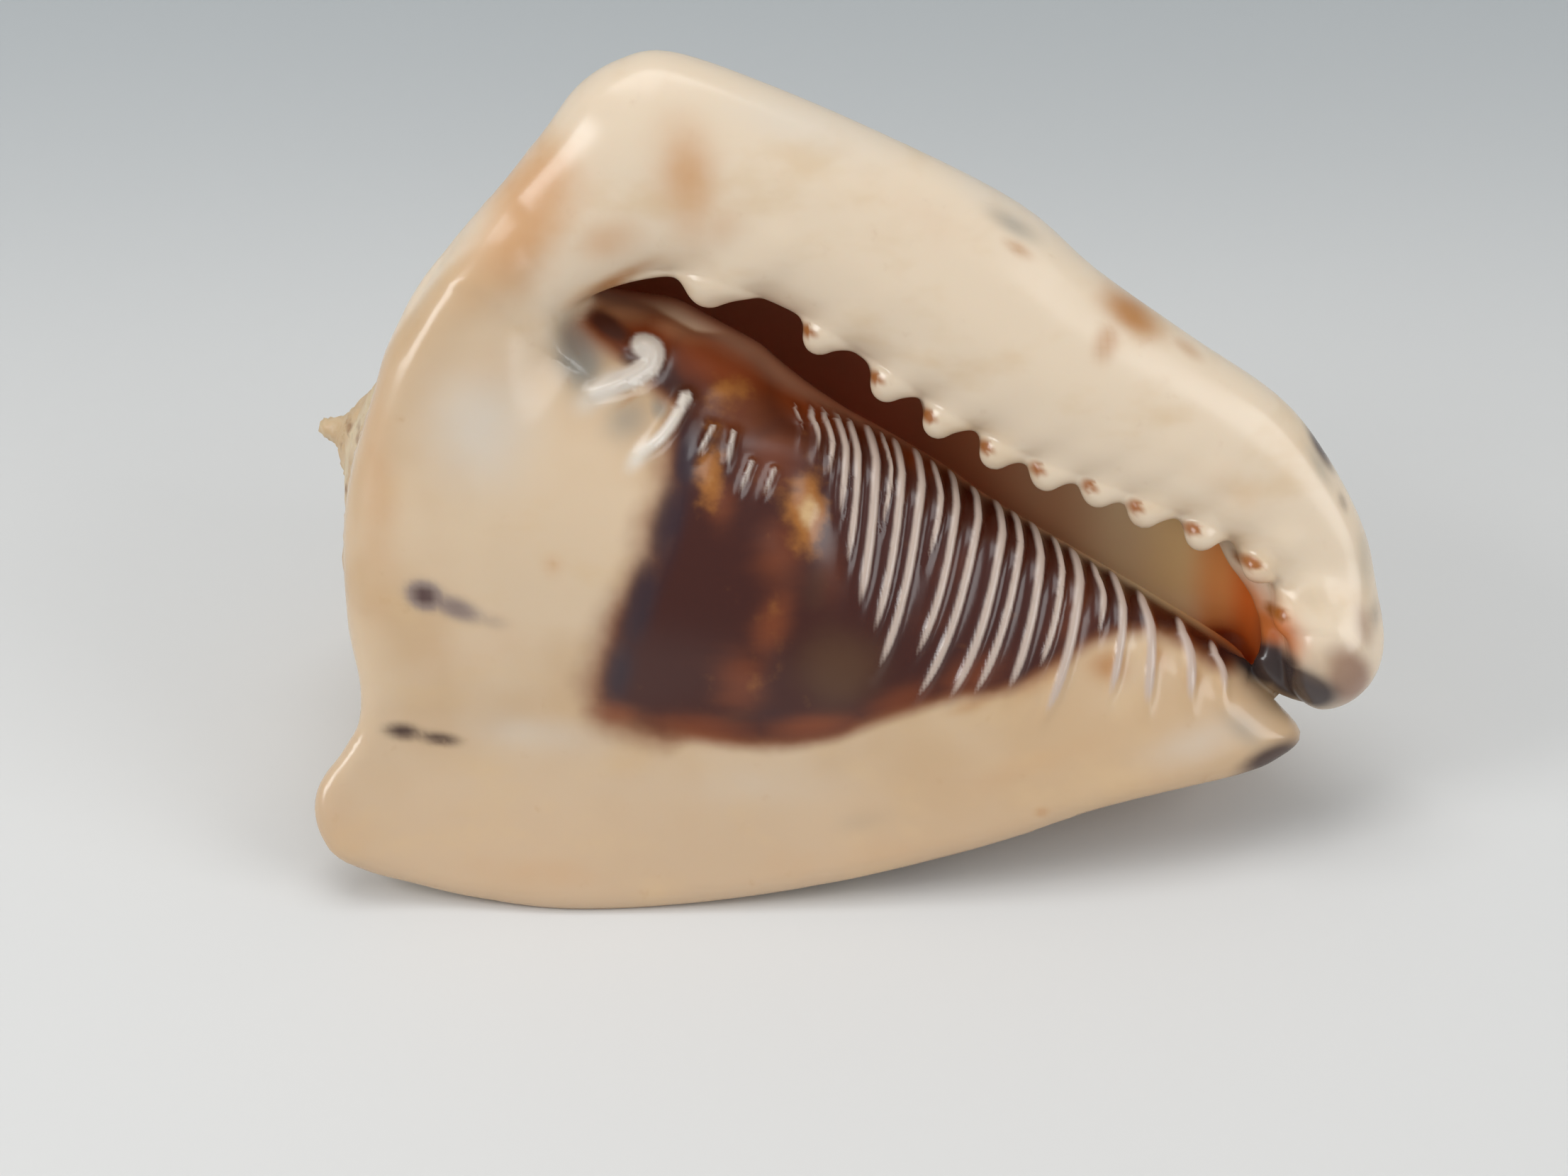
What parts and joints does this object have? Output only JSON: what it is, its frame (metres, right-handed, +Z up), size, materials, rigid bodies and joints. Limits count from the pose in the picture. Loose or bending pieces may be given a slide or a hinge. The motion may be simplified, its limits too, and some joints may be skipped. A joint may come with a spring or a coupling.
{
  "type": "king helmet shell",
  "caption": "Large thick-walled helmet shell lying on its back edge, with a broad triangular shield, a toothed outer lip and a long narrow opening ribbed with fine white ridges.",
  "frame": {"origin": "middle of the shell's plan, at the level of the table it rests on", "axes": "+X from the spire to the siphonal canal, along the opening; +Y to the back of the shell, away from its face; +Z up"},
  "size_m": [0.2145, 0.134, 0.1475],
  "materials": {
    "shell": "porcelain-like gloss on the face, dark brown patch by the opening, satin on the back"
  },
  "bodies": {
    "root": {"helmet_shell": "shell"}
  },
  "joints": []
}
